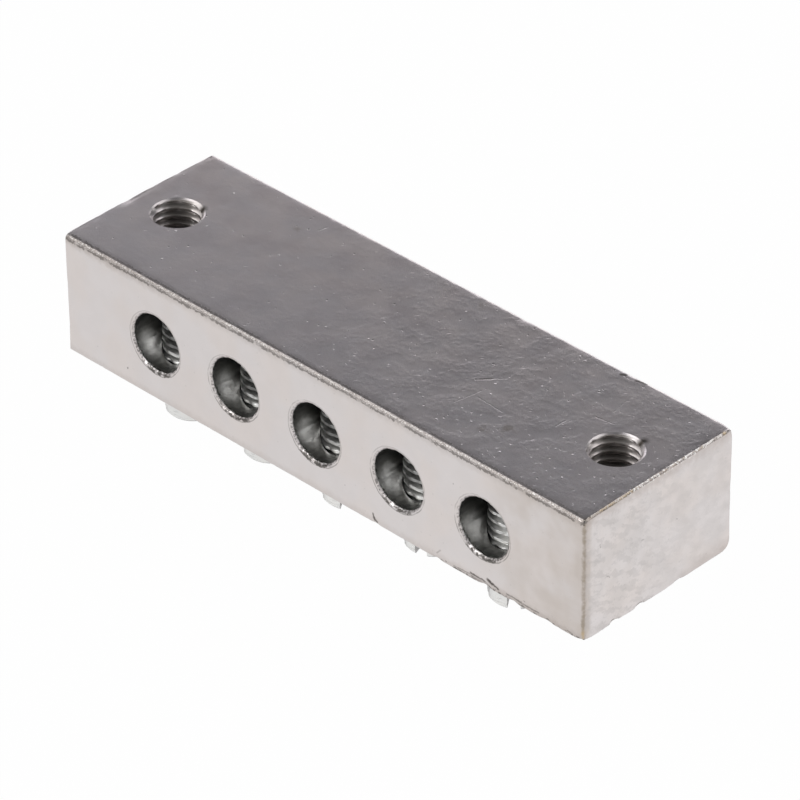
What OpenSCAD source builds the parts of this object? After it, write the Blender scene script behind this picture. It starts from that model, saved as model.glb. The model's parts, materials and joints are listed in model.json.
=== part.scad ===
// Earth terminal block: a plated brass bar with a row of wire holes in its front face, a headless slotted
// clamp screw up into each hole from the underside, and a tapped fixing hole near each end.
// X runs along the bar, Y from the front face to the back, and Z up out of the mounting face.
// The origin is the middle of the mounting face, half way between the two fixing holes.

/* [Bar] */
// Width of the bar, from the front face to the back
bar_w = 17.6; // [15:0.1:24]
// Height of the bar, from the underside to the mounting face
bar_h = 12; // [10:0.1:16]
// Radius along the drawn edges
edge_r = 0.35; // [0.1:0.05:1]
// Radius along the drawn edge at the back of the underside, which is rounder than the others
heel_r = 1; // [0.1:0.05:2]
// Chamfer round the two sawn ends
end_chamfer = 0.3; // [0.05:0.05:0.5]
// Distance from each fixing hole to the end of the bar beside it
end_margin = 4.75; // [4:0.25:12]

/* [Wire holes] */
// Distance from one wire hole to the next
wire_pitch = 9.5; // [7.5:0.1:14]
// Diameter of a wire hole
wire_d = 5.5; // [5.2:0.1:6.5]
// Depth of a wire hole's straight wall
wire_depth = 12; // [9:0.5:13]
// Height of the wire holes above the underside
wire_h = 5.7; // [4.5:0.05:7]
// Chamfer round the mouth of a wire hole
wire_chamfer = 0.3; // [0.1:0.05:0.6]
// Angle of the drill point that ends a wire hole
drill_angle = 118; // [90:1:140]

/* [Fixing holes] */
// Tap drill of the fixing thread, whose helix is left out
tap_d = 4.2; // [3.3:0.1:5]
// Chamfer round both mouths of a fixing hole
tap_chamfer = 0.3; // [0.1:0.05:0.8]
// Distance from each fixing hole to the wire hole beside it
fixing_offset = 6.25; // [5.5:0.25:12]

/* [Clamp screws] */
// Outer diameter of the screw thread, whose helix is left out
screw_d = 5; // [4:0.1:5]
// Length of a screw
screw_l = 10; // [9:0.5:14]
// Distance from the front face to the screws
screw_setback = 4.2; // [3.5:0.1:6]
// Diameter of the flat point
point_d = 3.2; // [2:0.1:3.8]
// Chamfer on the slotted end
head_chamfer = 0.2; // [0.1:0.05:0.8]
// Width of the screwdriver slot
slot_w = 1.1; // [0.6:0.1:1.4]
// Depth of the screwdriver slot
slot_depth = 1.8; // [1:0.1:2]
// Running clearance round a screw in its tapped hole
thread_gap = 0.05; // [0.02:0.01:0.1]
// Chamfer round the mouth of a screw's tapped hole
screw_hole_chamfer = 0.3; // [0.1:0.05:0.6]
// How far each screw still has to go before its point meets the roof of the wire hole, from left to right
screw_slack = [0.45, 0.2, 0.3, 0.25, 0.65]; // [0.1:0.05:3]
// Turn of each screw's slot from the bar's length, from left to right
slot_turn = [36, 52, 124, 108, 125]; // [0:1:180]

/* [Hidden] */
$fn = 96;
// Overshoot that carries a cut clear of the face it starts from
cut_over = 1;

ways = len(screw_slack);

wire_row_l = (ways - 1) * wire_pitch;
fixing_spacing = wire_row_l + 2 * fixing_offset;
bar_l = fixing_spacing + 2 * end_margin;
front_y = -bar_w / 2;
underside_z = -bar_h;
wire_z = underside_z + wire_h;
screw_y = front_y + screw_setback;

// Height above a wire hole's axis at which the roof stops the screw: at the rim of its point or at its shoulder
point_chamfer = (screw_d - point_d) / 2;
rim_stop = roof_height(point_d / 2);
shoulder_stop = roof_height(screw_d / 2) + point_chamfer;
point_stop_z = wire_z + min(rim_stop, shoulder_stop);

function roof_height(x) = sqrt(max(0, pow(wire_d / 2, 2) - x * x));
function wire_x(way) = (way - 1) * wire_pitch - wire_row_l / 2;
function screw_base_z(way) = point_stop_z - screw_slack[way - 1] - screw_l;

// Cross-section of the drawn bar, about its middle, with the front to the left
module drawn_section() {
    y = bar_w / 2;
    z = bar_h / 2;
    polygon([
        [edge_r - y, -z], [y - heel_r, -z], [y, heel_r - z], [y, z - edge_r],
        [y - edge_r, z], [edge_r - y, z], [-y, z - edge_r], [-y, edge_r - z]
    ]);
    translate([y - heel_r, heel_r - z]) circle(heel_r);
    for (corner = [[-1, -1], [-1, 1], [1, 1]])
        translate([corner.x * (y - edge_r), corner.y * (z - edge_r)]) circle(edge_r);
}

// Rectangle with its corners cut off at 45 degrees, about the origin
module chamfered_rectangle(size, chamfer) {
    x = size.x / 2;
    y = size.y / 2;
    polygon([
        [x - chamfer, y], [x, y - chamfer], [x, chamfer - y], [x - chamfer, -y],
        [chamfer - x, -y], [-x, chamfer - y], [-x, y - chamfer], [chamfer - x, y]
    ]);
}

// Drawn bar, sawn to length, with its sawn edges broken
module bar_blank() {
    over = 2 * cut_over;
    intersection() {
        rotate([90, 0, 90])
            linear_extrude(bar_l + over, center = true) drawn_section();
        linear_extrude(bar_h + over, center = true) chamfered_rectangle([bar_l, bar_w], end_chamfer);
        rotate([90, 0, 0])
            linear_extrude(bar_w + over, center = true) chamfered_rectangle([bar_l, bar_h], end_chamfer);
    }
}

// Cut of a drilled hole that goes up from its mouth at z = 0, with a chamfered mouth
module drilled_hole(d, depth, chamfer, point_angle = 180) {
    r = d / 2;
    point_h = r / tan(point_angle / 2);
    rotate_extrude()
        polygon([
            [0, -cut_over], [r + chamfer, -cut_over], [r + chamfer, 0], [r, chamfer],
            [r, depth], [0, depth + point_h]
        ]);
}

module wire_hole(way) {
    translate([wire_x(way), front_y, wire_z])
        rotate([-90, 0, 0]) drilled_hole(wire_d, wire_depth, wire_chamfer, drill_angle);
}

// Tapped hole that leads a clamp screw up into its wire hole
module screw_hole(way) {
    translate([wire_x(way), screw_y, underside_z])
        drilled_hole(screw_d + 2 * thread_gap, wire_h, screw_hole_chamfer);
}

// Tapped hole right through the bar, chamfered at both faces
module fixing_hole(side) {
    translate([side * fixing_spacing / 2, 0, 0])
        for (face = [0, 1])
            translate([0, 0, -face * bar_h])
                mirror([0, 0, 1 - face]) drilled_hole(tap_d, bar_h / 2 + cut_over, tap_chamfer);
}

module terminal_bar() {
    color([0.72, 0.70, 0.69])
        difference() {
            translate([0, 0, -bar_h / 2]) bar_blank();
            for (way = [1:ways]) {
                wire_hole(way);
                screw_hole(way);
            }
            for (side = [-1, 1]) fixing_hole(side);
        }
}

// Headless screw that stands on its slotted end, with a flat point
module clamp_screw(way) {
    r = screw_d / 2;
    color([0.80, 0.80, 0.79])
        translate([wire_x(way), screw_y, screw_base_z(way)])
            difference() {
                rotate_extrude()
                    polygon([
                        [0, 0], [r - head_chamfer, 0], [r, head_chamfer],
                        [r, screw_l - point_chamfer], [point_d / 2, screw_l], [0, screw_l]
                    ]);
                rotate(slot_turn[way - 1])
                    translate([-screw_d, -slot_w / 2, -cut_over])
                        cube([2 * screw_d, slot_w, slot_depth + cut_over]);
            }
}

terminal_bar();
for (way = [1:ways])
    clamp_screw(way);
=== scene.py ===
"""Looks of the earth terminal block: the plated bar with all its holes, and its five slotted clamp screws.

The frame is the CAD model's, in metres: X along the bar, Y from the front to the back, and Z up, with the
top face at 0. Sizes and places named here are in millimetres, and MM turns them into metres.
"""

import json
import math

import bmesh
import bpy
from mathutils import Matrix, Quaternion, Vector, noise


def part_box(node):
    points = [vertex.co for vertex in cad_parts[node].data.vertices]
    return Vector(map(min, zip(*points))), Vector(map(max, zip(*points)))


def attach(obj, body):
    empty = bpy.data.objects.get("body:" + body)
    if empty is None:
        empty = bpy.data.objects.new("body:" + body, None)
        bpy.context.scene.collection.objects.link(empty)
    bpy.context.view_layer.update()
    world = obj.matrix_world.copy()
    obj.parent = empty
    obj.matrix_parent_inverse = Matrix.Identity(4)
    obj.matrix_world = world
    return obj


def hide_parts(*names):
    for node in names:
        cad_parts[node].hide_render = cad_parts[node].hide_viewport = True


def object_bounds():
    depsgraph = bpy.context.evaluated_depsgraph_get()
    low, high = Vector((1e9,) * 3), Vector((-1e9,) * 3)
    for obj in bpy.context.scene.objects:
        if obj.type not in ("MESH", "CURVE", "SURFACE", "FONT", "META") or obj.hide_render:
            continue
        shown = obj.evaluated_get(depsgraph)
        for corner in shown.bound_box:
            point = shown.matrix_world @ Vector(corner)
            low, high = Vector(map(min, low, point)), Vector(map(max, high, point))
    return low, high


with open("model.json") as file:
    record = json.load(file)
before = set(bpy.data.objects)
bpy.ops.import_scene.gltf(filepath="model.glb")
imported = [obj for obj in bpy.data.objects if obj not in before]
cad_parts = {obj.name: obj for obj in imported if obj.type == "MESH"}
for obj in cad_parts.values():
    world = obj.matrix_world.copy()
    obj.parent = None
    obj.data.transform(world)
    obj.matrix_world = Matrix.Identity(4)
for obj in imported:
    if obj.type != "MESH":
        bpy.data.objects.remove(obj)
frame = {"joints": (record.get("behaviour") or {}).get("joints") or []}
cad_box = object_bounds()

MM = 0.001

# The bar's box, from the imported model
BAR_LOW, BAR_HIGH = (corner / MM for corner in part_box("terminal_bar"))
BAR_L, BAR_W, BAR_H = BAR_HIGH - BAR_LOW
FRONT_Y = BAR_LOW.y
UNDERSIDE_Z = BAR_LOW.z

# Holes and screws, as in the part's source
WAYS = 5
WIRE_PITCH = 9.5
WIRE_Z = -6.3
WIRE_HOLE = {"diameter": 5.5, "depth": 12.0, "chamfer": 0.3, "point_angle": 118.0}
SCREW_HOLE = {"diameter": 5.1, "depth": 5.7, "chamfer": 0.3}
SCREW_Y = FRONT_Y + 4.2
FIXING_X = 25.25
SCREW_L = 10.0
SCREW_POINT_D = 3.2
SCREW_HEAD_CHAMFER = 0.2
SLOT_W = 1.1
SLOT_DEPTH = 1.8
SLOT_TURNS = (36, 52, 124, 108, 125)

# Threads, the plain shank at the head of a screw, and its chipped and crushed crests
THREAD_PITCH = 0.8
FIXING_THREAD = {"outer": 4.95, "root": 4.14, "tap": 4.2, "chamfer": 0.3}
SCREW_THREAD = {"outer": 5.0, "root": 4.02}
SCREW_SHANK_L = 2.5
CHIPPED_CRESTS = 0.12
CRUSHED_CREST = 0.36

# Ragged rims of the wire holes, the turn from one to the next, and where the painted highlight sits on the
# wall of each wire hole, measured from its middle
RAGGED_RIM = 0.24
RIM_SPIN = 1.9
BORE_HIGHLIGHT_SPOT = (-2.2, -7.4, -7.9)

# How finely the turned forms are divided, and the angle past which an edge stays sharp
HOLE_SEGMENTS = 96
RAGGED_SEGMENTS = 144
THREAD_SEGMENTS = 72
TAP_ROWS = 196
SCREW_ROWS = 163
SHARP_ANGLE = math.radians(32)

# Radius of each long edge of the drawn bar, and of the edges round its sawn ends
LONG_EDGE_R = {"front_top": 0.2, "back_top": 0.4, "back_bottom": 1.0, "front_bottom": 0.24}
END_EDGE_R = 0.2
UNDER_END_SHARE = 0.45

# How round each edge is: 2 is a quarter circle, and 1 a flat chamfer
LONG_EDGE_POWER = {"front_top": 1.2, "back_top": 2.0, "back_bottom": 2.0, "front_bottom": 2.0}
END_EDGE_POWER = 1.25

# The top falls a little towards both long edges, and rolls down close to the front one
TOP_CROWN = {"front": 0.07, "back": 0.05}
FRONT_ROLL = {"drop": 0.035, "back": 0.75, "down": 1.2}

# Waves and chips along the edges: how far in they reach, their waves to the millimetre and their depths
EDGE_REACH = 0.7
EDGE_WAVE = {"scale": 0.9, "depth": 0.03}
EDGE_CHIP = {"scale": 3.1, "depth": 0.2, "start": 0.15, "offset": Vector((7.0, 3.0, 1.0))}

# Knocks on the edges: where, how wide and how deep
EDGE_KNOCKS = (
    ((30.0, -5.05, -12.0), 0.4, 0.28),
    ((30.0, -2.05, -12.0), 0.4, 0.24),
    ((30.0, 2.5, -12.0), 0.5, 0.14),
    ((30.0, 8.8, 0.0), 0.6, 0.2),
    ((30.0, 5.7, 0.0), 0.3, 0.1),
    ((30.0, -8.8, 0.0), 0.45, 0.12),
    ((30.0, -8.8, -12.0), 0.6, 0.16),
    ((19.2, -8.8, -12.0), 0.5, 0.16),
    ((22.3, -8.8, -12.0), 0.45, 0.12),
    ((26.0, -8.8, -12.0), 0.6, 0.1),
    ((13.9, -8.8, -12.0), 0.35, 0.1),
    ((6.9, -8.8, -12.0), 0.3, 0.08),
    ((-30.0, -8.8, 0.0), 0.5, 0.14),
    ((-30.0, -1.5, 0.0), 0.6, 0.06),
    ((7.4, 8.8, 0.0), 0.5, 0.06),
)

# Scratches, gouges and pits in the plating: start, end, half width, depth, and how dark the dirt in them is
PLATE_MARKS = (
    ((10.45, -0.61, 0.0), (11.3, 0.3, 0.0), 0.16, 0.035, 0.7),
    ((11.1, 0.1, 0.0), (12.2, 1.25, 0.0), 0.09, 0.02, 0.35),
    ((11.44, -4.06, 0.0), (11.98, -1.01, 0.0), 0.07, 0.012, 0.2),
    ((12.3, -2.27, 0.0), (15.15, -2.48, 0.0), 0.09, 0.014, 0.25),
    ((21.08, 2.21, 0.0), (22.78, 2.48, 0.0), 0.1, 0.016, 0.35),
    ((21.65, 3.72, 0.0), (21.31, 5.53, 0.0), 0.08, 0.012, 0.25),
    ((19.62, -0.92, 0.0), (19.66, 0.1, 0.0), 0.1, 0.02, 0.4),
    ((-14.55, 6.4, 0.0), (-14.42, 7.2, 0.0), 0.12, 0.02, 0.4),
    ((0.38, -2.3, 0.0), (0.4, -2.3, 0.0), 0.14, 0.03, 0.7),
    ((8.47, 4.4, 0.0), (8.5, 4.4, 0.0), 0.14, 0.03, 0.7),
    ((9.93, 1.98, 0.0), (9.95, 1.98, 0.0), 0.16, 0.03, 0.8),
    ((13.37, -7.45, 0.0), (13.4, -7.45, 0.0), 0.12, 0.03, 0.6),
    ((18.45, 8.1, 0.0), (18.75, 8.3, 0.0), 0.32, 0.0, 0.95),
    ((19.9, 8.3, 0.0), (20.8, 8.5, 0.0), 0.3, 0.0, 0.95),
    ((-22.58, -8.8, -10.39), (-22.56, -8.8, -10.4), 0.13, 0.0, 0.9),
    ((6.68, -8.8, -11.0), (6.86, -8.8, -11.55), 0.17, 0.0, 0.9),
    ((6.75, -8.8, -11.35), (7.1, -8.8, -11.65), 0.2, 0.0, 0.8),
    ((13.9, -8.8, -11.3), (14.3, -8.8, -10.85), 0.12, 0.0, 0.35),
    ((15.8, -8.8, -11.62), (17.7, -8.8, -11.5), 0.09, 0.0, 0.5),
    ((17.7, -8.8, -11.36), (19.0, -8.8, -11.42), 0.17, 0.0, 0.85),
    ((17.8, -8.8, -11.62), (19.1, -8.8, -11.72), 0.14, 0.0, 0.45),
    ((19.0, -8.8, -11.42), (19.9, -8.8, -11.8), 0.2, 0.0, 0.8),
    ((19.62, -8.8, -11.08), (20.1, -8.8, -11.25), 0.27, 0.0, 1.0),
    ((20.0, -8.8, -11.22), (20.75, -8.8, -11.43), 0.19, 0.0, 0.9),
    ((21.7, -8.8, -11.42), (23.3, -8.8, -11.45), 0.16, 0.0, 0.65),
    ((23.3, -8.8, -11.5), (25.2, -8.8, -11.5), 0.12, 0.0, 0.6),
    ((23.6, -8.8, -11.15), (23.64, -8.8, -11.17), 0.13, 0.0, 0.6),
    ((15.76, -8.8, -3.52), (15.78, -8.8, -3.5), 0.11, 0.0, 0.5),
    ((3.46, -8.8, -9.72), (3.48, -8.8, -9.7), 0.1, 0.0, 0.5),
    ((30.0, -6.09, -6.81), (30.0, -5.8, -7.1), 0.1, 0.0, 0.35),
    ((30.0, -6.98, -3.3), (30.0, -6.9, -3.6), 0.1, 0.0, 0.4),
    ((30.0, -2.02, -5.45), (30.0, -1.8, -5.5), 0.09, 0.0, 0.35),
    ((30.0, 2.02, -5.52), (30.0, 2.2, -5.6), 0.08, 0.0, 0.3),
    ((25.98, 2.05, -0.25), (26.1, 2.4, 0.0), 0.7, 0.0, 1.0),
    ((-24.3, 1.65, -0.35), (-24.13, 1.98, -0.1), 0.65, 0.0, 1.0),
)

# Brown stains on the top: middle, reach, and how strong they are
BROWN_STAINS = (
    ((15.75, -5.08, 0.0), 0.9, 0.5),
    ((17.15, -3.9, 0.0), 1.0, 0.6),
    ((-16.04, 5.23, 0.0), 0.7, 0.4),
    ((3.31, 7.63, 0.0), 1.2, 0.3),
)


class Value:
    """An output socket in a node tree. Arithmetic on it adds Math nodes to that tree."""

    def __init__(self, graph, socket):
        self.graph = graph
        self.socket = socket

    def output(self, name):
        """Another output of the node that made this one."""
        return Value(self.graph, self.socket.node.outputs[name])

    def math(self, operation, *others):
        return self.graph.math(operation, self, *others)

    def __add__(self, other):
        return self.graph.math("ADD", self, other)

    def __radd__(self, other):
        return self.graph.math("ADD", other, self)

    def __sub__(self, other):
        return self.graph.math("SUBTRACT", self, other)

    def __rsub__(self, other):
        return self.graph.math("SUBTRACT", other, self)

    def __mul__(self, other):
        return self.graph.math("MULTIPLY", self, other)

    def __rmul__(self, other):
        return self.graph.math("MULTIPLY", other, self)

    def __truediv__(self, other):
        return self.graph.math("DIVIDE", self, other)

    def __rtruediv__(self, other):
        return self.graph.math("DIVIDE", other, self)

    def __pow__(self, other):
        return self.graph.math("POWER", self, other)

    def __lt__(self, other):
        return self.graph.math("LESS_THAN", self, other)

    def __gt__(self, other):
        return self.graph.math("GREATER_THAN", self, other)

    def __abs__(self):
        return self.graph.math("ABSOLUTE", self)


class Graph:
    """A node tree, built node by node."""

    def __init__(self, tree):
        self.tree = tree
        tree.nodes.clear()

    def node(self, kind, settings=None, sockets=None):
        """Adds a node with its settings and its sockets' values or links, and gives its first output."""
        node = self.tree.nodes.new(kind)
        for name, value in (settings or {}).items():
            if name == "choices":
                while len(node.index_switch_items) < value:
                    node.index_switch_items.new()
            else:
                setattr(node, name, value)
        for name, value in (sockets or {}).items():
            socket = node.inputs[name] if isinstance(name, int) else self.named(node.inputs, name)
            for one in value if isinstance(value, list) else [value]:
                if isinstance(one, Value):
                    self.tree.links.new(one.socket, socket)
                else:
                    socket.default_value = one
        shown = [socket for socket in node.outputs if socket.enabled]
        return Value(self, shown[0]) if shown else None

    @staticmethod
    def named(sockets, name):
        return next(socket for socket in sockets if socket.name == name and socket.enabled)

    def math(self, operation, *operands):
        return self.node("ShaderNodeMath", {"operation": operation}, dict(enumerate(operands)))

    def vector_math(self, operation, *operands):
        return self.node("ShaderNodeVectorMath", {"operation": operation}, dict(enumerate(operands)))

    def vector(self, x, y, z):
        return self.node("ShaderNodeCombineXYZ", {}, {"X": x, "Y": y, "Z": z})

    def fade(self, value, start, end, first=0.0, last=1.0):
        """Goes smoothly from first, where value is at start, to last, where it is at end."""
        sockets = {"Value": value, "From Min": start, "From Max": end, "To Min": first, "To Max": last}
        return self.node("ShaderNodeMapRange", {"interpolation_type": "SMOOTHSTEP"}, sockets)

    def mix(self, share, first, second):
        """Colour that goes from first to second as share goes from 0 to 1."""
        return self.node("ShaderNodeMix", {"data_type": "RGBA"}, {"Factor": share, "A": first, "B": second})


# The bar's blank: a drawn bar, sawn to length

CORNERS = {(-1, 1): "front_top", (1, 1): "back_top", (1, -1): "back_bottom", (-1, -1): "front_bottom"}
HALF_W, HALF_H = BAR_W / 2, BAR_H / 2
EDGE_STEPS = (0.0, 0.07, 0.14, 0.21, 0.28, 0.36, 0.46, 0.6, 0.78, 1.0)
BLANK_STEP = {"along": 0.25, "across": 0.42, "up": 0.6}
END_ARC_STEPS = 6


def spaced(half, step):
    """Places from -half to half, close together near both ends and about a step apart between."""
    inner = half - EDGE_STEPS[-1]
    count = round(2 * inner / step)
    between = [-inner + 2 * inner * i / count for i in range(1, count)]
    return [-half + s for s in EDGE_STEPS] + between + [half - s for s in reversed(EDGE_STEPS)]


def drawn_outline(y, z, inset):
    """Moves a point of the square outline onto the drawn one with its round corners, drawn in by inset."""
    half_w, half_h = HALF_W - inset, HALF_H - inset
    y, z = y * half_w / HALF_W, z * half_h / HALF_H
    side_y, side_z = (1 if y > 0 else -1), (1 if z > 0 else -1)
    corner = CORNERS[side_y, side_z]
    radius, power = LONG_EDGE_R[corner], LONG_EDGE_POWER[corner]
    from_side, from_face = half_w - abs(y), half_h - abs(z)
    along = max(from_side, from_face)
    if along >= radius:
        return y, z
    lean = math.radians(45) * (along / radius)
    angle = math.radians(45) + (lean if from_face < from_side else -lean)
    out_y, out_z = (max(0.0, f(angle)) ** (2 / power) for f in (math.cos, math.sin))
    return side_y * (half_w - radius + radius * out_y), side_z * (half_h - radius + radius * out_z)


def end_arc(steps):
    """Distances from the bar's end, and insets, along the curve that breaks its edge, going inwards."""
    angles = [math.radians(90 * (1 - i / steps)) for i in range(steps + 1)]
    turns = [[max(0.0, f(a)) ** (2 / END_EDGE_POWER) for f in (math.sin, math.cos)] for a in angles]
    return [(END_EDGE_R * (1 - s), END_EDGE_R * (1 - c)) for s, c in turns]


def end_share(z):
    """How much of the end edge's size a point of the outline has: less of it along the underside."""
    up = min(1.0, (z + HALF_H) / 3)
    return UNDER_END_SHARE + (1 - UNDER_END_SHARE) * up


def crowned(y, z):
    """Height of a point of the outline once the top has its crown and its rolled front edge."""
    crown = TOP_CROWN["front" if y < 0 else "back"] * (y / HALF_W) ** 2 * max(0.0, z / HALF_H)
    back = max(0.0, 1 - (y + HALF_W) / FRONT_ROLL["back"])
    down = max(0.0, 1 - (HALF_H - z) / FRONT_ROLL["down"])
    return z - crown - FRONT_ROLL["drop"] * back * back * down


def outline_ring(ys, zs):
    """Index pairs round the edge of a grid of ys and zs."""
    last_y, last_z = len(ys) - 1, len(zs) - 1
    ring = [(j, 0) for j in range(last_y)] + [(last_y, k) for k in range(last_z)]
    return ring + [(j, last_z) for j in range(last_y, 0, -1)] + [(0, k) for k in range(last_z, 0, -1)]


def edge_wear(x, y, z):
    """How deep a point of the bar is worn in: waves and small chips along the edges, and the knocks."""
    from_end = BAR_L / 2 - abs(x)
    from_side, from_face = HALF_W - abs(y), HALF_H - abs(z + HALF_H)
    to_edge = sorted((from_end, from_side, from_face))[1]
    near = max(0.0, 1.0 - to_edge / EDGE_REACH)
    depth = 0.0
    if near > 0:
        spot = Vector((x, y, z))
        wave = 0.5 + 0.5 * noise.noise(spot * EDGE_WAVE["scale"])
        chips = max(0.0, noise.noise(spot * EDGE_CHIP["scale"] + EDGE_CHIP["offset"]) - EDGE_CHIP["start"])
        lower_right = (z < -6) * min(1.0, max(0.0, (x - 10) / 8))
        rough = 0.35 + 0.2 * lower_right + 0.2 * (from_end < 1)
        depth = near * (EDGE_WAVE["depth"] * wave + EDGE_CHIP["depth"] * rough * chips)
    for place, width, knock in EDGE_KNOCKS:
        away = (Vector((x, y, z)) - Vector(place)).length / width
        if away < 3:
            depth += knock * math.exp(-away * away)
    return depth


def bar_blank():
    """Mesh of the bar before drilling, worn in along its edges."""
    ys, zs = spaced(HALF_W, BLANK_STEP["across"]), spaced(HALF_H, BLANK_STEP["up"])
    ring = outline_ring(ys, zs)
    along = spaced(BAR_L / 2, BLANK_STEP["along"])
    between = [x for x in along if BAR_L / 2 - abs(x) > END_EDGE_R + 0.01]
    arc = end_arc(END_ARC_STEPS)
    places = [(-1, back, inset) for back, inset in arc] + [(0, x, 0.0) for x in between]
    places += [(1, back, inset) for back, inset in reversed(arc)]
    bm = bmesh.new()

    # Columns near the ends turn in along a curve, to where the sawn face starts
    columns = []
    for end, place, inset in places:
        column = {}
        for j, k in ring:
            share = end_share(zs[k])
            x = end * (BAR_L / 2 - place * share) if end else place
            y, z = drawn_outline(ys[j], zs[k], inset * share)
            column[j, k] = bm.verts.new((x * MM, y * MM, (crowned(y, z) - HALF_H) * MM))
        columns.append(column)
    for left, right in zip(columns, columns[1:]):
        for a, b in zip(ring, ring[1:] + ring[:1]):
            bm.faces.new((left[a], left[b], right[b], right[a]))

    # The sawn faces fill the two end rings
    for column, x in ((columns[0], -BAR_L / 2), (columns[-1], BAR_L / 2)):
        cap = dict(column)
        for j in range(1, len(ys) - 1):
            for k in range(1, len(zs) - 1):
                scale = max(abs(ys[j]) / HALF_W, abs(zs[k]) / HALF_H, 1e-6)
                inset = END_EDGE_R * end_share(zs[k] / scale)
                y, z = (c * scale for c in drawn_outline(ys[j] / scale, zs[k] / scale, inset))
                cap[j, k] = bm.verts.new((x * MM, y * MM, (crowned(y, z) - HALF_H) * MM))
        for j in range(len(ys) - 1):
            for k in range(len(zs) - 1):
                bm.faces.new((cap[j, k], cap[j + 1, k], cap[j + 1, k + 1], cap[j, k + 1]))

    bmesh.ops.recalc_face_normals(bm, faces=bm.faces)
    bm.normal_update()
    worn = [(v, v.normal.copy(), edge_wear(*(v.co / MM))) for v in bm.verts]
    for vert, normal, depth in worn:
        vert.co -= normal * depth * MM
    mesh = bpy.data.meshes.new("bar_blank")
    bm.to_mesh(mesh)
    bm.free()
    return mesh


# Turned and threaded forms, made by Geometry Nodes


def size_tree(name, sizes):
    """New Geometry Nodes tree with a named input for each size, and its graph and inputs."""
    tree = bpy.data.node_groups.new(name, "GeometryNodeTree")
    tree.interface.new_socket("Geometry", in_out="OUTPUT", socket_type="NodeSocketGeometry")
    for label, kind in sizes.items():
        tree.interface.new_socket(label, in_out="INPUT", socket_type="NodeSocket" + kind)
    graph = Graph(tree)
    group_input = graph.node("NodeGroupInput")
    return graph, {label: group_input.output(label) for label in sizes}


def lathe(graph, rows, segments, outline):
    """Closed turned solid about Z. outline(row, turn) gives its radius and height, from pole to pole."""
    grid = graph.node("GeometryNodeMeshGrid", {}, {"Vertices X": segments + 1, "Vertices Y": rows})
    index = graph.node("GeometryNodeInputIndex")
    column = ((index + 0.5) / rows).math("FLOOR")
    row = index - column * rows
    radius, height = outline(row, column / segments)
    angle = column * (math.tau / segments)
    place = graph.vector(radius * angle.math("COSINE"), radius * angle.math("SINE"), height)
    turned = graph.node("GeometryNodeSetPosition", {}, {"Geometry": grid, "Position": place})
    seam = 1e-6
    return graph.node("GeometryNodeMergeByDistance", {}, {"Geometry": turned, "Distance": seam})


def drilled_hole(graph, diameter, depth, chamfer, point_h, ragged=0.0):
    """Cutter of a drilled hole, going up from its mouth at the origin. Its rim wanders by up to ragged."""
    radius = diameter / 2
    mouth, lip = radius + chamfer, radius + chamfer * 0.4
    below = -1.0 * MM

    # Radius and height of each ring, and its share of the wandering
    points = (
        (0.0, below, 0.0),
        (mouth, below, 0.3),
        (mouth, 0.0, 0.3),
        (lip, chamfer * 0.25, 0.8),
        (radius, chamfer * 0.7, 1.0),
        (radius, chamfer * 1.6, 0.2),
        (radius, depth, 0.0),
        (0.0, depth + point_h, 0.0),
    )

    def outline(row, turn):
        sockets = {"Index": row}
        for number, (r, h, share) in enumerate(points):
            sockets[str(number)] = graph.vector(r, share * ragged, h)
        settings = {"data_type": "VECTOR", "choices": len(points)}
        place = graph.node("GeometryNodeIndexSwitch", settings, sockets)
        split = graph.node("ShaderNodeSeparateXYZ", {}, {"Vector": place})
        angle = turn * math.tau
        rim = graph.vector(angle.math("COSINE"), angle.math("SINE"), 0.0)
        wander = graph.node("ShaderNodeTexNoise", {}, {"Vector": rim, "Scale": 8.0, "Detail": 4.0}) - 0.5
        return split.output("X") + split.output("Y") * wander, split.output("Z")

    return lathe(graph, len(points), RAGGED_SEGMENTS if ragged else HOLE_SEGMENTS, outline)


def threaded_rod(graph, rows, length, pitch, outer_r, root_r, plain, shaped, crest=0.16, chipped=0.0):
    """Rod with a right-hand thread above its plain part, standing on the origin.

    shaped(radius, height) trims its ends. Its crests take up the crest share of the pitch, and are worn
    down in places by as much as chipped.
    """
    root_start = 0.76

    def outline(row, turn):
        height = ((row - 1) / (rows - 3)).math("MAXIMUM", 0.0).math("MINIMUM", 1.0) * length
        phase = (height / pitch - turn).math("FRACT")
        from_crest = abs(phase - 0.5) * 2
        slope = {"Value": from_crest, "From Min": crest, "From Max": root_start}
        flank = graph.node("ShaderNodeMapRange", {}, slope)
        depth = (outer_r - root_r) * graph.fade(height, plain - pitch / 2, plain + pitch / 2)
        radius = outer_r - flank * depth
        if chipped:
            angle = turn * math.tau
            spot = graph.vector(outer_r * angle.math("COSINE"), outer_r * angle.math("SINE"), height)
            worn = graph.node("ShaderNodeTexNoise", {}, {"Vector": spot, "Scale": 1.5 / MM, "Detail": 3.0})
            radius = radius - chipped * graph.fade(worn, 0.45, 0.7) * (1 - flank)
        radius = shaped(radius, height)
        pole = (row < 0.5) + (row > rows - 1.5)
        return radius * (1 - pole), height

    return lathe(graph, rows, THREAD_SEGMENTS, outline)


def finish_tree(graph, geometry, finish):
    """Ends a tree in one plain mesh with its material."""
    real = graph.node("GeometryNodeRealizeInstances", {}, {"Geometry": geometry})
    inputs = {"Geometry": real, "Material": finish}
    graph.node("NodeGroupOutput", {}, {"Geometry": graph.node("GeometryNodeSetMaterial", {}, inputs)})


def cut(graph, mesh, *cutters):
    """The mesh with the cutters taken out of it."""
    settings = {"operation": "DIFFERENCE", "solver": "EXACT"}
    return graph.node("GeometryNodeMeshBoolean", settings, {"Mesh 1": mesh, "Mesh 2": list(cutters)})


def moved(graph, geometry, place=(0, 0, 0), turn=(0, 0, 0)):
    """The geometry turned about the origin and moved to a place."""
    inputs = {"Geometry": geometry, "Translation": place, "Rotation": turn}
    return graph.node("GeometryNodeTransform", {}, inputs)


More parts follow.
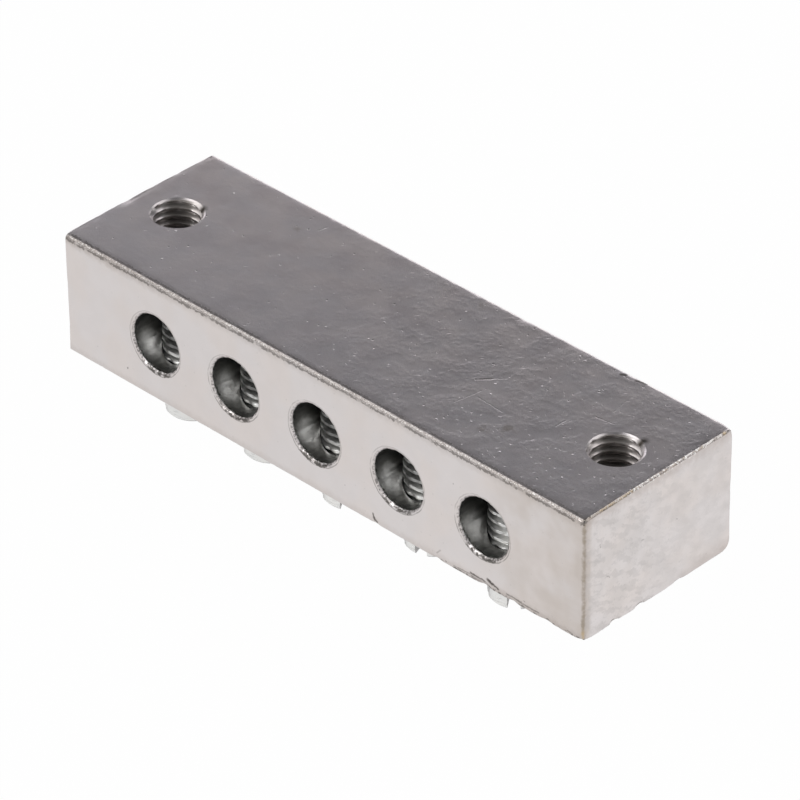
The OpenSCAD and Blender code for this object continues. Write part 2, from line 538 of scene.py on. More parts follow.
def row_of(graph, piece, count, first, step, spin=0.0):
    """A row of copies, as one mesh, each turned about Y by so much more than the one before."""
    line = graph.node("GeometryNodeMeshLine", {}, {"Count": count, "Start Location": first, "Offset": step})
    inputs = {"Points": line, "Instance": piece}
    if spin:
        inputs["Rotation"] = graph.vector(0.0, graph.node("GeometryNodeInputIndex") * spin, 0.0)
    copies = graph.node("GeometryNodeInstanceOnPoints", {}, inputs)
    return graph.node("GeometryNodeRealizeInstances", {}, {"Geometry": copies})


def bar_tree(finish):
    """Tree that drills and taps the bar's blank."""
    lengths = (
        "Wire Pitch", "Wire Height", "Front",
        "Wire Hole Diameter", "Wire Hole Depth", "Wire Chamfer", "Drill Point",
        "Screw Line", "Underside", "Screw Hole Diameter", "Screw Hole Depth", "Screw Hole Chamfer",
        "Fixing Spacing", "Thread Pitch", "Thread Diameter", "Thread Bore", "Tap Diameter", "Tap Chamfer",
    )
    sizes = {"Blank": "Geometry", "Ways": "Int"} | {label: "Float" for label in lengths}
    graph, size = size_tree("terminal bar", sizes)
    start_x = (size["Ways"] - 1) * size["Wire Pitch"] * -0.5
    step = graph.vector(size["Wire Pitch"], 0.0, 0.0)

    wire_labels = ("Wire Hole Diameter", "Wire Hole Depth", "Wire Chamfer", "Drill Point")
    wire_hole = drilled_hole(graph, *(size[label] for label in wire_labels), RAGGED_RIM * MM)
    wire_hole = moved(graph, wire_hole, turn=(math.radians(-90), 0, 0))
    first = graph.vector(start_x, size["Front"], size["Wire Height"])
    wire_holes = row_of(graph, wire_hole, size["Ways"], first, step, spin=RIM_SPIN)

    screw_labels = ("Screw Hole Diameter", "Screw Hole Depth", "Screw Hole Chamfer")
    screw_hole = drilled_hole(graph, *(size[label] for label in screw_labels), 0.0)
    first = graph.vector(start_x, size["Screw Line"], size["Underside"])
    screw_holes = row_of(graph, screw_hole, size["Ways"], first, step)

    over = 0.4 * MM
    height = -1 * size["Underside"]
    mouth_r = size["Tap Diameter"] / 2 + size["Tap Chamfer"]

    def mouths(radius, z):
        from_face = (height / 2 + over - abs(z - height / 2 - over)) - over
        return radius.math("MAXIMUM", mouth_r - from_face.math("MAXIMUM", 0.0))

    outer_r, root_r = size["Thread Diameter"] / 2, size["Thread Bore"] / 2
    tap_l, pitch = height + 2 * over, size["Thread Pitch"]
    tap = threaded_rod(graph, TAP_ROWS, tap_l, pitch, outer_r, root_r, -1.0, mouths)
    first = graph.vector(size["Fixing Spacing"] * -0.5, 0.0, size["Underside"] - over)
    taps = row_of(graph, tap, 2, first, graph.vector(size["Fixing Spacing"], 0.0, 0.0))

    drilled = cut(graph, size["Blank"], wire_holes)
    drilled = cut(graph, drilled, screw_holes)
    finish_tree(graph, cut(graph, drilled, taps), finish)
    return graph.tree


def screw_tree(finish):
    """Tree that makes a headless slotted screw with a flat point."""
    lengths = (
        "Length", "Shank", "Thread Pitch", "Thread Diameter", "Root Diameter",
        "Point Diameter", "Head Chamfer", "Slot Width", "Slot Depth",
    )
    sizes = {"Foot": "Vector", "Slot Turn": "Float"} | {label: "Float" for label in lengths}
    graph, size = size_tree("clamp screw", sizes)
    outer_r, root_r = size["Thread Diameter"] / 2, size["Root Diameter"] / 2
    point_r = size["Point Diameter"] / 2

    def chamfers(radius, z):
        at_head = outer_r - size["Head Chamfer"] + z
        at_point = point_r + size["Length"] - z
        return radius.math("MINIMUM", at_head).math("MINIMUM", at_point)

    rod = threaded_rod(
        graph, SCREW_ROWS, size["Length"], size["Thread Pitch"], outer_r, root_r, size["Shank"],
        chamfers, CRUSHED_CREST, CHIPPED_CRESTS * MM
    )
    below = 1.0 * MM
    slot_size = graph.vector(size["Thread Diameter"] * 2, size["Slot Width"], size["Slot Depth"] + below)
    slot = graph.node("GeometryNodeMeshCube", {}, {"Size": slot_size})
    lift = graph.vector(0.0, 0.0, (size["Slot Depth"] - below) / 2)
    slot = moved(graph, slot, lift, graph.vector(0.0, 0.0, size["Slot Turn"]))
    finish_tree(graph, moved(graph, cut(graph, rod, slot), size["Foot"]), finish)
    return graph.tree


def made_by(tree, name, sizes, blank=None):
    """Runs a tree and gives its result as a plain mesh object at the origin."""
    maker = bpy.data.objects.new(name + "_maker", blank or bpy.data.meshes.new(name + "_start"))
    bpy.context.scene.collection.objects.link(maker)
    modifier = maker.modifiers.new("maker", "NODES")
    modifier.node_group = tree
    for socket in tree.interface.items_tree:
        if socket.in_out == "INPUT" and socket.name in sizes:
            modifier[socket.identifier] = sizes[socket.name]
    worked_out = bpy.context.evaluated_depsgraph_get()
    mesh = bpy.data.meshes.new_from_object(maker.evaluated_get(worked_out), depsgraph=worked_out)
    bpy.data.objects.remove(maker)
    mesh.name = name
    mesh.shade_smooth()
    mesh.set_sharp_from_angle(angle=SHARP_ANGLE)
    piece = bpy.data.objects.new(name, mesh)
    bpy.context.scene.collection.objects.link(piece)
    return piece


# Finishes

# Colours of the plating and its wear, of the bores, and of the screws, with painted light and shade among
# them
TIN_COOL = (0.725, 0.685, 0.68, 1)
TIN_WARM = (0.735, 0.68, 0.66, 1)
TIN_AGED = (0.60, 0.54, 0.50, 1)
TIN_CLOUDED = (0.56, 0.525, 0.51, 1)
TIN_CREASED = (0.47, 0.445, 0.435, 1)
TIN_HEM = (0.47, 0.40, 0.365, 1)
TIN_BRUISED = (0.50, 0.44, 0.44, 1)
TIN_DULLED = (0.45, 0.43, 0.43, 1)
TIN_PAINTED_LIGHT = (0.97, 0.935, 0.945, 1)
TIN_FLECK = (0.88, 0.86, 0.85, 1)
FRONT_PAINTED_SHADE = (0.41, 0.38, 0.365, 1)
FRONT_HAZE = (0.40, 0.345, 0.31, 1)
RIDGE_GRIT = (0.24, 0.21, 0.19, 1)
RIDGE_BRIGHT = (0.95, 0.93, 0.91, 1)
RIDGE_DULL = (0.25, 0.225, 0.21, 1)
UPRIGHT_BROWN = (0.32, 0.27, 0.21, 1)
RUBBED_BROWN = (0.34, 0.27, 0.21, 1)
CORNER_BROWN = (0.27, 0.215, 0.165, 1)
BARE_BRASS = (0.66, 0.50, 0.28, 1)
EDGE_PAINTED_GLINT = (0.95, 0.93, 0.90, 1)
EDGE_GRIME_AND_SHADE = (0.05, 0.042, 0.036, 1)
BORE_CLEAN = (0.40, 0.40, 0.385, 1)
BORE_OIL_AND_SHADE = (0.16, 0.16, 0.155, 1)
BORE_PAINTED_HIGHLIGHT = (0.90, 0.90, 0.885, 1)
FIXING_GROOVE_SHADE = (0.16, 0.15, 0.14, 1)
FIXING_FAR_WALL_SHADE = (0.20, 0.185, 0.165, 1)
PIT_DIRT = (0.12, 0.11, 0.10, 1)
STAIN_BROWN = (0.36, 0.31, 0.25, 1)
MARK_DIRT = (0.07, 0.06, 0.05, 1)
ZINC_COOL = (0.74, 0.74, 0.73, 1)
ZINC_WARM = (0.80, 0.79, 0.77, 1)
ZINC_GROOVE_SHADE = (0.14, 0.14, 0.135, 1)
ZINC_OIL_AND_SHADE = (0.13, 0.13, 0.125, 1)


def surface(name):
    """New material, its graph, its own coordinates in mm, and a function that sets its shader."""
    material = bpy.data.materials.new(name)
    material.use_nodes = True
    graph = Graph(material.node_tree)
    place = graph.node("ShaderNodeTexCoord").output("Object")
    scale = {"operation": "SCALE"}
    place = graph.node("ShaderNodeVectorMath", scale, {"Vector": place, "Scale": 1 / MM})

    def shade(**sockets):
        named = {key.replace("_", " ").title(): value for key, value in sockets.items()}
        shader = graph.node("ShaderNodeBsdfPrincipled", {}, named)
        graph.node("ShaderNodeOutputMaterial", {}, {"Surface": shader})

    return material, graph, place, shade


def from_nearest_way(x):
    """Distance along the bar from the middle of the nearest wire hole."""
    return (x + WIRE_PITCH / 2).math("FLOORED_MODULO", WIRE_PITCH) - WIRE_PITCH / 2


def stretched(graph, place, stretch, turn):
    """Coordinates of a pattern drawn out along its own X, which is turned by so many degrees."""
    turned = {"Vector": place, "Scale": (stretch, 1.0, 1.0), "Rotation": (0, 0, math.radians(turn))}
    return graph.node("ShaderNodeMapping", {"vector_type": "TEXTURE"}, turned)


def grain(graph, place, scale, detail=2.0):
    """Noise from 0 to 1 with so many waves to the millimetre."""
    return graph.node("ShaderNodeTexNoise", {}, {"Vector": place, "Scale": scale, "Detail": detail})


def specks(graph, place, spacing, share, size):
    """Mask of specks in a share of the cells of a random pattern, fading out to so large a radius."""
    flat = {"voronoi_dimensions": "2D"}
    cells = graph.node("ShaderNodeTexVoronoi", flat, {"Vector": place, "Scale": 1 / spacing})
    chance = graph.node("ShaderNodeSeparateColor", {}, {"Color": cells.output("Color")})
    reach = size * (0.4 + 0.6 * chance.output("Green"))
    return (1 - graph.fade(cells * spacing, 0.0, reach)) * (chance < share)


def stroke(graph, place, start, end, width, strength):
    """Mask of a straight mark from start to end, fading out from its strength to its half width."""
    run = Vector(end) - Vector(start)
    if run.length < width / 3:
        return graph.fade(graph.vector_math("DISTANCE", place, start), 0.0, width, strength, 0.0)
    from_start = graph.vector_math("SUBTRACT", place, start)
    along = graph.vector_math("DOT_PRODUCT", from_start, run / run.length_squared)
    along = graph.node("ShaderNodeClamp", {}, {"Value": along})
    on_line = graph.node("ShaderNodeVectorMath", {"operation": "SCALE"}, {"Vector": run, "Scale": along})
    return graph.fade(graph.vector_math("DISTANCE", from_start, on_line), 0.0, width, strength, 0.0)


def plated_brass():
    """Finish of the bar: dull tin plate over brass, browned and rubbed along its edges, and its bores, with
    painted light and shade in places.
    """
    material, graph, place, shade = surface("plated brass")
    split = graph.node("ShaderNodeSeparateXYZ", {}, {"Vector": place})
    x, y, z = (split.output(axis) for axis in "XYZ")
    fade = graph.fade

    def within(value, low, high, soft):
        """1 where value is between low and high, fading out over soft on both sides."""
        return fade(value, low - soft, low) * (1 - fade(value, high, high + soft))

    def below(value, low, high):
        """1 where value is under low, fading out to 0 at high."""
        return 1 - fade(value, low, high)

    # How far a point is from the faces, and its place on the face that it is on
    below_top = -1 * z
    above_under = z - UNDERSIDE_Z
    behind_front = y - FRONT_Y
    from_right = BAR_L / 2 - x
    level_depth, end_depth = 0.14, 0.1
    level = below_top.math("MINIMUM", above_under) < level_depth
    ends = (BAR_L / 2 - abs(x)) < end_depth
    across_face = x * (1 - ends) + y * ends
    up_face = y * level + z * (1 - level)
    end_pattern, level_pattern = 100, 50
    on_face = graph.vector(across_face + end_pattern * ends, up_face + level_pattern * level, 0.0)
    uneven = grain(graph, place, 2.2) - 0.5
    ragged = grain(graph, place, 4.5) - 0.5
    mottle = grain(graph, place, 0.25)
    fine = grain(graph, place, 8.0)
    push = graph.vector(ragged, uneven, ragged)

    def shaken(spot, reach):
        """A place moved about at random by as much as reach."""
        sockets = {0: push, 1: (2 * reach, 2 * reach, 2 * reach), 2: spot}
        return graph.node("ShaderNodeVectorMath", {"operation": "MULTIPLY_ADD"}, sockets)

    # Bores of the wire holes, and the tapped holes that lead into them
    wire_r, screw_hole_r = WIRE_HOLE["diameter"] / 2, SCREW_HOLE["diameter"] / 2
    bore_end = WIRE_HOLE["depth"] + 3.0
    from_way = from_nearest_way(x)
    across = abs(from_way)
    in_row = abs(x) < WAYS / 2 * WIRE_PITCH
    under_axis = WIRE_Z - z
    off_axis = (across ** 2 + under_axis ** 2).math("SQRT")
    off_screw = (across ** 2 + (y - SCREW_Y) ** 2).math("SQRT")
    drilled = below(off_axis, wire_r + 0.07, wire_r + 0.15) * fade(behind_front, 0.12, 0.25)
    drilled = drilled * below(behind_front, bore_end, bore_end + 0.5)
    tapped = below(off_screw, screw_hole_r + 0.03, screw_hole_r + 0.07) * within(below_top, 6.0, 11.8, 0.1)
    bore = drilled.math("MAXIMUM", tapped) * in_row
    outside = 1 - bore

    # Plating: faintly mottled, warmer at the right of the front, cloudy and creased on the sawn ends
    tin = graph.mix(fade(mottle, 0.35, 0.65), TIN_COOL, TIN_WARM)
    warm = fade(x, 17.0, 25.0) * fade(grain(graph, place, 0.4), 0.2, 0.8)
    warm = warm + below(from_right, 0.2, 1.8) * 0.4
    tin = graph.mix(warm * below(behind_front, 0.5, 1.0), tin, TIN_AGED)
    cloud = fade(grain(graph, shaken(on_face, 0.4), 0.5, 3.0), 0.35, 0.65)
    tin = graph.mix(cloud * (0.25 * ends + 0.1), tin, TIN_CLOUDED)
    scuffs = specks(graph, stretched(graph, shaken(on_face, 0.4), 3.5, -22), 0.8, 0.75, 0.24)
    scuffs = scuffs * (0.3 + 0.7 * below(y, -4.0, 5.0))
    tin = graph.mix(scuffs * ends * 0.3, tin, TIN_CREASED)
    creases = grain(graph, stretched(graph, shaken(on_face, 0.3), 2.2, -25), 1.5, 3.0)
    creases = fade(creases, 0.47, 0.6)
    tin = graph.mix(creases * ends * (0.12 + 0.2 * below(y, -5.0, 4.0)), tin, TIN_CREASED)
    hem = below(below_top + 1.5 * uneven, 0.2, 1.4)
    hem = hem.math("MAXIMUM", below(behind_front + 0.8 * uneven, 0.1, 0.6))
    hem = hem.math("MAXIMUM", below(above_under + uneven, 0.3, 1.7) * fade(y, 0.0, 6.0))
    colour = graph.mix(hem * ends * 0.4, tin, TIN_HEM)

    # Brown haze on the front, under its top edge and along its lower edge, and painted shade over the whole
    # front face
    face = below(behind_front, 0.3, 0.5)
    haze = below(below_top + 0.7 * uneven, 0.45, 1.3) * (0.3 + 0.25 * below(x, -22.0, -14.0))
    low_haze = below(above_under + 0.6 * uneven, 0.25, 1.0) * (0.22 + 0.28 * fade(x, 8.0, 24.0))
    colour = graph.mix(haze.math("MAXIMUM", low_haze) * face * outside, colour, FRONT_HAZE)
    # Painted shade: the front face a little darker than the rest of the plating
    colour = graph.mix(face * outside * 0.14, colour, FRONT_PAINTED_SHADE)

    # Burnished front edge, finely pitted, with grime and painted shade along both of its borders
    ridge = below(below_top + 0.2 * ragged, 0.31, 0.37) * below(behind_front + 0.2 * ragged, 0.18, 0.24)
    grit = fade(fine, 0.48, 0.66)
    colour = graph.mix(ridge * grit * 0.6, colour, RIDGE_GRIT)
    colour = graph.mix(ridge * below(fine, 0.36, 0.46), colour, RIDGE_BRIGHT)
    colour = graph.mix(ridge * 0.42, colour, RIDGE_DULL)
    top_line = within(behind_front + 0.5 * ragged, 0.24, 0.42, 0.08) * below(below_top, 0.12, 0.2)
    front_line = within(below_top + 0.5 * ragged, 0.4, 0.56, 0.08) * below(behind_front, 0.1, 0.2)
    patchy = fade(grain(graph, place, 1.2), 0.25, 0.5)
    grime_and_shade = (top_line * 0.65).math("MAXIMUM", front_line * 0.6) * patchy

    # Brown, rubbed edges of the right end, bare brass in places, painted glints along its top edge, and a
    # line of grime and painted shade inside that edge
    end_top = below(from_right + 0.5 * ragged, 0.12, 0.34)
    end_top = end_top * below(below_top + 0.5 * ragged, 0.12, 0.34)
    lean = 0.2 * ragged + 0.4 * uneven
    upright = below(from_right + lean, 0.04, 0.34) * below(behind_front + lean, 0.04, 0.34)
    rubbed = grain(graph, place, 1.1)
    colour = graph.mix(upright * 0.75, colour, UPRIGHT_BROWN)
    browned = end_top * fade(rubbed + 0.8 * ragged, 0.45, 0.6)
    colour = graph.mix(browned * 0.8, colour, RUBBED_BROWN)
    near_corner = below(y, -5.5, -2.0).math("MAXIMUM", 0.6 * fade(y, 4.5, 7.0))
    colour = graph.mix(end_top * near_corner * 0.65, colour, CORNER_BROWN)
    brassy = within(y, -6.0, -3.5, 1.5) * fade(ragged, -0.12, 0.1)
    brassy = fade(rubbed, 0.57, 0.66).math("MAXIMUM", brassy)
    bare = (end_top * brassy).math("MAXIMUM", upright * fade(below_top, 10.4, 11.6))
    colour = graph.mix(bare * 0.7, colour, BARE_BRASS)
    painted_glints = end_top * below(ragged, -0.1, 0.0) * (1 - 0.75 * near_corner)
    colour = graph.mix(painted_glints, colour, EDGE_PAINTED_GLINT)
    end_line = within(from_right + 0.6 * ragged, 0.26, 0.4, 0.08) * below(below_top, 0.1, 0.2)
    grime_and_shade = grime_and_shade.math("MAXIMUM", end_line * patchy * 0.4)

    # Torn lower edge of the front, towards the right, darkened by grime and by a painted shadow under its
    # burr
    torn = below(above_under + 0.6 * ragged, 0.18, 0.42) * face * fade(x, 12.5, 15.5)
    grime_and_shade = grime_and_shade.math("MAXIMUM", torn * fade(uneven, -0.1, 0.12) * 0.7)
    colour = graph.mix(grime_and_shade, colour, EDGE_GRIME_AND_SHADE)

    # Bores, darker towards the roof with oil and painted shade, with a painted highlight low on the left of
    # each wall, and painted shade in the grooves of the fixing threads and on their far wall
    oil_and_shade = fade(0.8 * uneven - under_axis, -2.2, 1.4)
    drilled_wall = graph.mix(oil_and_shade, BORE_CLEAN, BORE_OIL_AND_SHADE)
    # Painted highlight: a pale patch low on the left of each wire hole's wall
    from_highlight_spot = graph.vector_math("DISTANCE", graph.vector(from_way, y, z), BORE_HIGHLIGHT_SPOT)
    drilled_wall = graph.mix(below(from_highlight_spot + 0.6 * uneven, 0.3, 1.7), drilled_wall, BORE_PAINTED_HIGHLIGHT)
    colour = graph.mix(bore, colour, drilled_wall)
    off_fixing = ((abs(x) - FIXING_X) ** 2 + y ** 2).math("SQRT")
    # Painted shade in the grooves of the fixing threads
    groove_shade = within(off_fixing, 2.2, 2.7, 0.12) * within(below_top, 0.35, 11.65, 0.1)
    colour = graph.mix(groove_shade * 0.15, colour, FIXING_GROOVE_SHADE)
    # Painted shade on the far, back-left wall of each fixing hole, which is also made rougher
    to_back_left = (y * 0.71 - (abs(x) - FIXING_X) * x.math("SIGN") * 0.7) / off_fixing
    far_wall_shade = fade(to_back_left + 0.2 * uneven, 0.72, 0.96) * below(off_fixing, 2.42, 2.5)
    far_wall_shade = far_wall_shade * fade(below_top, 0.1, 0.16)
    colour = graph.mix(far_wall_shade * 0.75, colour, FIXING_FAR_WALL_SHADE)

    # Burred lip of each wire hole, and a dark line and arc round it, all of them darker towards the bottom
    # of the mouth
    at_mouth = below(behind_front, 0.35, 0.45) * in_row
    lip = within(off_axis, wire_r - 0.07, wire_r + 0.15, 0.05) * at_mouth * fade(ragged, -0.02, 0.08)
    ring = within(off_axis + 0.15 * uneven, wire_r + 0.3, wire_r + 0.35, 0.05)
    ring = ring * (0.25 + 0.3 * fade(under_axis, -1.0, 2.0))
    lower_arc = within(off_axis + 0.3 * ragged, wire_r + 0.09, wire_r + 0.29, 0.08)
    lower_arc = lower_arc * fade(under_axis, 2.2, 2.6) * fade(uneven, -0.14, 0.04)
    rim = (ring * patchy).math("MAXIMUM", lower_arc * 0.92) * at_mouth
    rim = rim.math("MAXIMUM", lip * (0.25 + 0.4 * fade(under_axis, -0.5, 1.5)))
    colour = graph.mix(rim, colour, PIT_DIRT)

    # Flecks, dents, pits and short scratches, most of them on the right half of the top
    rough = 0.35 + 0.65 * fade(x, -12.0, 12.0)
    speckled = (0.2 + 0.8 * level) * outside
    loose = shaken(on_face, 0.12)
    flecks = specks(graph, loose, 0.75, 0.045 * rough, 0.15) * speckled
    pits = specks(graph, loose, 1.1, 0.32 * rough, 0.13) * speckled
    ticks = specks(graph, stretched(graph, loose, 5.0, 47), 0.55, 0.35 * rough, 0.07)
    crossing = specks(graph, stretched(graph, loose, 4.0, -30), 0.8, 0.35 * rough, 0.07)
    ticks = ticks.math("MAXIMUM", crossing) * speckled
    dents = fade(grain(graph, on_face, 0.45), 0.38, 0.58) * grain(graph, loose, 2.4) * rough * speckled
    bruise = fade(grain(graph, on_face, 0.3, 3.0), 0.4, 0.7) * level
    colour = graph.mix(bruise * 0.3, colour, TIN_BRUISED)
    # Painted light: the top and underside paler towards the front and towards the right
    top_painted_light = (0.36 * below(y, -8.0, 6.0) + 0.16 * fade(x, 6.0, 22.0)) * level
    top_painted_light = top_painted_light * outside * (1 - ridge) * (1 - end_top) * (1 - grime_and_shade)
    colour = graph.mix(top_painted_light, colour, TIN_PAINTED_LIGHT)
    colour = graph.mix(flecks * 0.45, colour, TIN_FLECK)
    colour = graph.mix(pits * 0.7, colour, PIT_DIRT)
    colour = graph.mix(fade(fine, 0.4, 0.75) * rough * level * 0.25, colour, TIN_DULLED)

    # The marks that have a place of their own
    carved, dirt, brown = 0.0, 0.0, 0.0
    bent = shaken(place, 0.1)
    for start, end, width, depth, stain in PLATE_MARKS:
        mark = stroke(graph, bent, start, end, width, stain)
        if depth:
            carved = carved + mark * (depth / stain)
        dirt = mark.math("MAXIMUM", dirt)
    for middle, reach, strength in BROWN_STAINS:
        blot = below(graph.vector_math("DISTANCE", place, middle), 0.0, reach) * strength
        brown = blot.math("MAXIMUM", brown)
    brown = brown * fade(grain(graph, place, 1.8), 0.35, 0.6)
    colour = graph.mix(brown, colour, STAIN_BROWN)
    colour = graph.mix(dirt * outside, colour, MARK_DIRT)

    # Gloss and relief, with the drill's rings in the bores
    rings = graph.node("ShaderNodeTexNoise", {"noise_dimensions": "1D"}, {"W": y * 4.0, "Detail": 2.0})
    roughness = 0.27 + 0.08 * mottle + 0.06 * fine + 0.2 * grime_and_shade + 0.15 * dirt
    roughness = roughness - 0.08 * end_top + 0.02 * bore + 0.3 * far_wall_shade
    height = 0.006 * grain(graph, place, 0.8) + 0.0012 * rough * fine * outside + 0.006 * ridge * grit
    marks = 0.018 * flecks + 0.02 * dents - 0.024 * pits - 0.008 * ticks - 0.6 * carved
    height = height + outside * marks
    height = height + bore * 0.0025 * rings + end_top * (0.05 * ragged + 0.01 * fine) + 0.03 * lip
    bump = graph.node("ShaderNodeBump", {}, {"Distance": MM, "Height": height})
    shade(base_color=colour, metallic=1.0, roughness=roughness, normal=bump)
    return material


def zinc_steel():
    """Finish of the screws: mottled zinc, with painted shade in the grooves, and oil and painted shade
    inside the wire holes.
    """
    material, graph, place, shade = surface("zinc steel")
    split = graph.node("ShaderNodeSeparateXYZ", {}, {"Vector": place})
    x, y, z = (split.output(axis) for axis in "XYZ")
    fade = graph.fade
    across = from_nearest_way(x)
    off_axis = (across ** 2 + (y - SCREW_Y) ** 2).math("SQRT")
    mottle = grain(graph, place, 1.2, 3.0)
    zinc = graph.mix(fade(mottle, 0.3, 0.7), ZINC_COOL, ZINC_WARM)

    # Painted shade in the grooves of the thread, lighter on the fifth screw
    groove_shade = fade(off_axis, 1.7, 1.9) * (1 - fade(off_axis, 2.1, 2.42)) * fade(z, -12.0, -11.0)
    zinc = graph.mix(groove_shade * (0.5 - 0.35 * fade(x, 12.0, 17.0)), zinc, ZINC_GROOVE_SHADE)

    # Oil and painted shade on the front of the first four screws, and on the left flank of the fifth
    first_four = 1 - fade(x, 6.0, 18.0)
    front = fade(across, -1.2, -0.5)
    height = z + 2.5 * (mottle - 0.5) + 1.2 * first_four
    oil_and_shade = fade(height, -7.4, -5.9) * front * (0.24 + 0.61 * first_four)
    oil_and_shade = oil_and_shade + fade(z, -10.5, -9.5) * (1 - front) * (1 - first_four) * 0.5
    zinc = graph.mix(oil_and_shade, zinc, ZINC_OIL_AND_SHADE)
    fine = grain(graph, place, 18.0)
    roughness = 0.28 + 0.1 * mottle + 0.05 * fine + 0.1 * oil_and_shade
    bump = graph.node("ShaderNodeBump", {}, {"Distance": MM, "Height": 0.002 * fine})
    shade(base_color=zinc, metallic=1.0, roughness=roughness, normal=bump)
    return material


# The studio

# Soft boxes in degrees and metres: azimuth, elevation, distance, width, depth, brightness and any tint
SOFT_BOXES = {
    "front_left_box": (-45, 41, 0.7, 0.8, 0.62, 1.3),
    "back_right_box": (135, 41, 0.7, 0.8, 0.62, 1.0),
    "back_left_box": (-135, 12, 0.8, 1.3, 0.34, 1.45, (0.97, 0.95, 1.0)),
    "front_right_box": (45, 12, 0.8, 1.3, 0.34, 0.6),
    "front_box": (-10, 23, 0.7, 0.3, 0.3, 4.0),
    "overhead_box": (0, 90, 1.0, 0.7, 0.7, 0.2),
}

# Greys of the air and the floor, how white the floor looks, its reach in metres, and its gap to the screws
AIR_GREY = (0.075, 0.075, 0.08)
PAPER_GREY = (0.92, 0.92, 0.92, 1)
WHITE_SHARE = 0.985
FLOOR_REACH = 2.5
FLOOR_GAP = 0.2


def studio_floor(level, half_l, half_w):
    """Pale floor that is white to the camera and in the metal, but not in the shadow under the bar."""
    material = bpy.data.materials.new("studio floor")
    material.use_nodes = True
    graph = Graph(material.node_tree)
    paper = graph.node("ShaderNodeBsdfDiffuse", {}, {"Color": PAPER_GREY})
    white = graph.node("ShaderNodeEmission", {}, {"Color": (1, 1, 1, 1), "Strength": 1.0})
    ray = graph.node("ShaderNodeLightPath")
    place = graph.node("ShaderNodeTexCoord").output("Object")
    split = graph.node("ShaderNodeSeparateXYZ", {}, {"Vector": place})
    open_x = graph.fade(abs(split.output("X")), half_l * 0.9, half_l)
    open_y = graph.fade(abs(split.output("Y")), half_w * 0.6, half_w)
    in_metal = ray.output("Is Glossy Ray") * open_x.math("MAXIMUM", open_y)
    seen = ray.output("Is Camera Ray").math("MAXIMUM", in_metal)
    seen = seen.math("MAXIMUM", ray.output("Is Transmission Ray"))
    lit = graph.node("ShaderNodeMixShader", {}, {0: seen * WHITE_SHARE, 1: paper, 2: white})
    below = graph.node("ShaderNodeNewGeometry").output("Backfacing")
    clear = graph.node("ShaderNodeBsdfTransparent")
    sheet = graph.node("ShaderNodeMixShader", {}, {0: below, 1: lit, 2: clear})
    graph.node("ShaderNodeOutputMaterial", {}, {"Surface": sheet})

    mesh = bpy.data.meshes.new("floor")
    sides = ((-1, -1), (1, -1), (1, 1), (-1, 1))
    corners = [(x * FLOOR_REACH, y * FLOOR_REACH, level) for x, y in sides]
    mesh.from_pydata(corners, [], [(0, 1, 2, 3)])
    mesh.materials.append(material)
    floor = bpy.data.objects.new("floor", mesh)
    bpy.context.scene.collection.objects.link(floor)


def direction(azimuth, elevation):
    """Unit vector towards a place round the object: azimuth 0 is in front of it, 90 to its right."""
    a, e = math.radians(azimuth), math.radians(elevation)
    return Vector((math.sin(a) * math.cos(e), -math.cos(a) * math.cos(e), math.sin(e)))


def soft_box(name, azimuth, elevation, distance, width, depth, brightness, tint=(1, 1, 1)):
    """Area lamp that faces the object; brightness is what a mirror would show of it."""
    lamp = bpy.data.lights.new(name, "AREA")
    lamp.shape = "RECTANGLE"
    lamp.size = width
    lamp.size_y = depth
    lamp.energy = brightness * math.pi * width * depth
    lamp.color = tint
    holder = bpy.data.objects.new(name, lamp)
    towards = direction(azimuth, elevation)
    holder.location = towards * distance
    holder.rotation_euler = towards.to_track_quat("Z", "Y").to_euler()
    bpy.context.scene.collection.objects.link(holder)


def studio_air(grey):
    """Even grey light from all round, which fills the shadows."""
    world = bpy.data.worlds.new("studio air")
    world.use_nodes = True
    graph = Graph(world.node_tree)
    air = graph.node("ShaderNodeBackground", {}, {"Color": (*grey, 1), "Strength": 1.0})
    graph.node("ShaderNodeOutputWorld", {}, {"Surface": air})
    bpy.context.scene.world = world


def product_camera():
    """Camera at the photograph's angle, set by its bearing on the point that it looks at."""
    azimuth, elevation, roll = 44.720, 34.746, 0.633
    distance, target = 422.07, Vector((1.041, 0.153, -6.899))
    sensor, lens = 36.0, 229.02
    camera = bpy.data.objects.new("camera", bpy.data.cameras.new("camera"))
    towards = direction(azimuth, elevation)
    camera.location = (target + towards * distance) * MM
    facing = towards.to_track_quat("Z", "Y")
    camera.rotation_mode = "QUATERNION"
    camera.rotation_quaternion = facing @ Quaternion((0, 0, 1), math.radians(-roll))
    camera.data.sensor_width = sensor
    camera.data.lens = lens
    camera.data.clip_start = 0.01
    camera.data.clip_end = 10.0
    bpy.context.scene.collection.objects.link(camera)
    bpy.context.scene.camera = camera


# The pieces

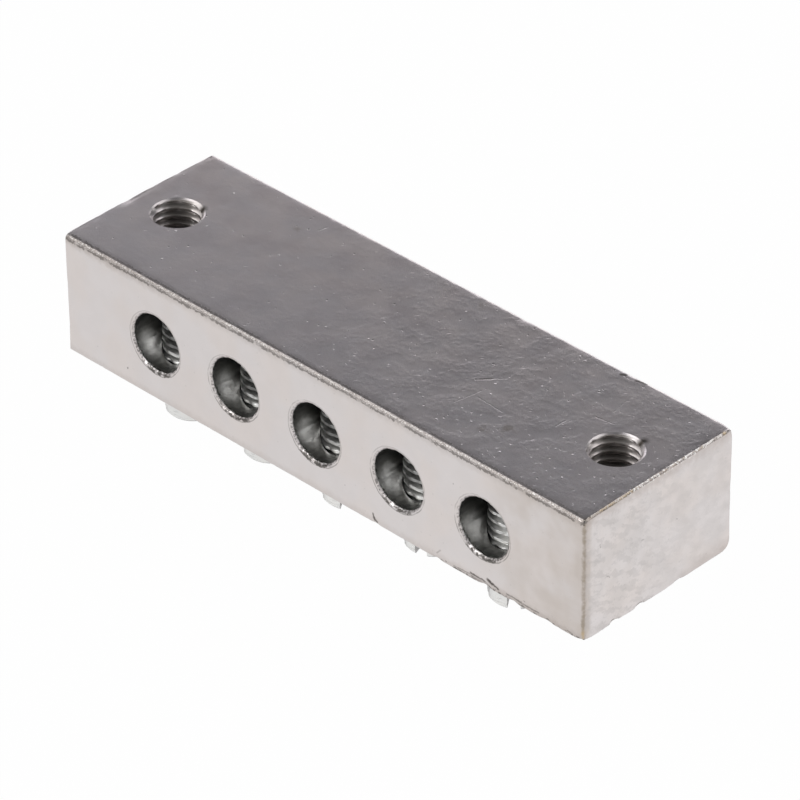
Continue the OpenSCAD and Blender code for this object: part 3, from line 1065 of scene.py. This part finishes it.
bar_sizes = {
    "Ways": WAYS,
    "Wire Pitch": WIRE_PITCH,
    "Wire Height": WIRE_Z,
    "Front": FRONT_Y,
    "Wire Hole Diameter": WIRE_HOLE["diameter"],
    "Wire Hole Depth": WIRE_HOLE["depth"],
    "Wire Chamfer": WIRE_HOLE["chamfer"],
    "Drill Point": WIRE_HOLE["diameter"] / 2 / math.tan(math.radians(WIRE_HOLE["point_angle"] / 2)),
    "Screw Line": SCREW_Y,
    "Underside": UNDERSIDE_Z,
    "Screw Hole Diameter": SCREW_HOLE["diameter"],
    "Screw Hole Depth": SCREW_HOLE["depth"],
    "Screw Hole Chamfer": SCREW_HOLE["chamfer"],
    "Fixing Spacing": 2 * FIXING_X,
    "Thread Pitch": THREAD_PITCH,
    "Thread Diameter": FIXING_THREAD["outer"],
    "Thread Bore": FIXING_THREAD["root"],
    "Tap Diameter": FIXING_THREAD["tap"],
    "Tap Chamfer": FIXING_THREAD["chamfer"],
}
bar_sizes = {label: size if label == "Ways" else size * MM for label, size in bar_sizes.items()}
bar = made_by(bar_tree(plated_brass()), "plated_bar", bar_sizes, bar_blank())
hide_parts("terminal_bar")
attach(bar, "bar")

screw_maker = screw_tree(zinc_steel())
screw_sizes = {
    "Length": SCREW_L * MM,
    "Shank": SCREW_SHANK_L * MM,
    "Thread Pitch": THREAD_PITCH * MM,
    "Thread Diameter": SCREW_THREAD["outer"] * MM,
    "Root Diameter": SCREW_THREAD["root"] * MM,
    "Point Diameter": SCREW_POINT_D * MM,
    "Head Chamfer": SCREW_HEAD_CHAMFER * MM,
    "Slot Width": SLOT_W * MM,
    "Slot Depth": SLOT_DEPTH * MM,
}
for way, slot_turn in enumerate(SLOT_TURNS, 1):
    low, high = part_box(f"clamp_screw_{way}")
    foot = ((low.x + high.x) / 2, SCREW_Y * MM, low.z)
    own = {"Foot": foot, "Slot Turn": math.radians(slot_turn)}
    screw = made_by(screw_maker, f"threaded_screw_{way}", screw_sizes | own)
    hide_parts(f"clamp_screw_{way}")
    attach(screw, f"screw_{way}")

screw_travel = min(joint["range_m"][0] for joint in frame["joints"])
studio_floor(cad_box[0].z + screw_travel - FLOOR_GAP * MM, BAR_L / 2 * MM, BAR_W / 2 * MM)
studio_air(AIR_GREY)
for box_name, settings in SOFT_BOXES.items():
    soft_box(box_name, *settings)
product_camera()
bpy.context.scene.view_settings.view_transform = "Standard"
